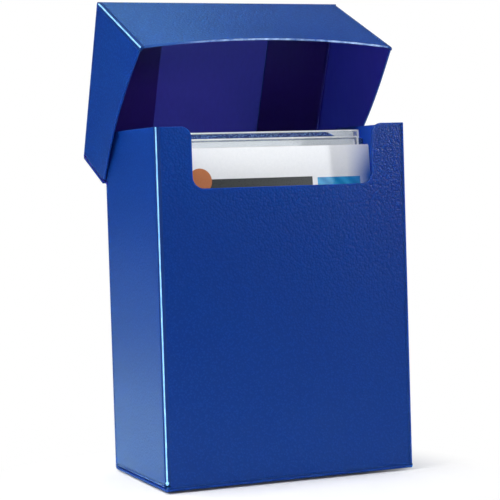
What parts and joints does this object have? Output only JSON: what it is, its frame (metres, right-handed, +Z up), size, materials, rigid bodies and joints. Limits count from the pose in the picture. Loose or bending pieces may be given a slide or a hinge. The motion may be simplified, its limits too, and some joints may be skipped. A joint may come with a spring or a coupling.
{
  "type": "trading card box",
  "caption": "Flip-lid box folded from creased plastic sheet, with a thumb cutout in its front, holding cards, sleeved cards and a divider.",
  "frame": {"origin": "middle of the underside of the box, on the surface it stands on", "axes": "+Z up; the front with the thumb cutout faces -Y; +X to the right as seen from the front; the lid hinges along X at the back (+Y)"},
  "size_m": [0.0764, 0.0626, 0.1321],
  "materials": {
    "blue_polypropylene": "fine-grained satin outside, smooth inside",
    "card_stock": "coated, semi-gloss",
    "clear_sleeve_film": "clear gloss film"
  },
  "bodies": {
    "box": {"body_front_panel": "blue_polypropylene", "body_bottom_panel": "blue_polypropylene", "body_back_panel": "blue_polypropylene", "body_bottom_front_fold": "blue_polypropylene", "body_bottom_back_fold": "blue_polypropylene", "body_left_panel": "blue_polypropylene", "body_front_left_fold": "blue_polypropylene", "body_left_flap_fold": "blue_polypropylene", "body_left_bottom_flap": "blue_polypropylene", "body_left_tab_fold": "blue_polypropylene", "body_left_back_tab": "blue_polypropylene", "body_right_panel": "blue_polypropylene", "body_front_right_fold": "blue_polypropylene", "body_right_flap_fold": "blue_polypropylene", "body_right_bottom_flap": "blue_polypropylene", "body_right_tab_fold": "blue_polypropylene", "body_right_back_tab": "blue_polypropylene", "lid_hinge_web": "blue_polypropylene"},
    "lid": {"lid_front_panel": "blue_polypropylene", "lid_top_panel": "blue_polypropylene", "lid_back_panel": "blue_polypropylene", "lid_top_front_fold": "blue_polypropylene", "lid_top_back_fold": "blue_polypropylene", "lid_left_panel": "blue_polypropylene", "lid_front_left_fold": "blue_polypropylene", "lid_left_flap_fold": "blue_polypropylene", "lid_left_top_flap": "blue_polypropylene", "lid_left_tab_fold": "blue_polypropylene", "lid_left_back_tab": "blue_polypropylene", "lid_right_panel": "blue_polypropylene", "lid_front_right_fold": "blue_polypropylene", "lid_right_flap_fold": "blue_polypropylene", "lid_right_top_flap": "blue_polypropylene", "lid_right_tab_fold": "blue_polypropylene", "lid_right_back_tab": "blue_polypropylene"},
    "front_card": {"front_card": "card_stock"},
    "front_deck": {"front_deck": "card_stock"},
    "second_sleeved_card": {"second_sleeve": "clear_sleeve_film", "second_card": "card_stock"},
    "divider": {"card_divider": "blue_polypropylene"},
    "rear_sleeved_card": {"rear_sleeve": "clear_sleeve_film", "rear_card": "card_stock"},
    "rear_deck": {"rear_deck": "card_stock"}
  },
  "joints": [
    {"name": "lid_hinge", "type": "hinge", "parent": "box", "child": "lid", "pos_m": [0, 0.0219, 0.081], "axis": [-1, 0, 0], "range_deg": [-67, 68]},
    {"name": "front_card_lift", "type": "slide", "parent": "box", "child": "front_card", "axis": [0, 0.0976, 0.9952], "range_m": [0, 0.005]},
    {"name": "front_deck_lift", "type": "slide", "parent": "box", "child": "front_deck", "axis": [0, 0.0976, 0.9952], "range_m": [0, 0.005]},
    {"name": "second_sleeved_card_lift", "type": "slide", "parent": "box", "child": "second_sleeved_card", "axis": [0, 0.0976, 0.9952], "range_m": [0, 0.005]},
    {"name": "divider_lift", "type": "slide", "parent": "box", "child": "divider", "axis": [0, 0.0976, 0.9952], "range_m": [0, 0.005]},
    {"name": "rear_sleeved_card_lift", "type": "slide", "parent": "box", "child": "rear_sleeved_card", "axis": [0, 0.0976, 0.9952], "range_m": [0, 0.005]},
    {"name": "rear_deck_lift", "type": "slide", "parent": "box", "child": "rear_deck", "axis": [0, 0.0976, 0.9952], "range_m": [0, 0.005]}
  ]
}
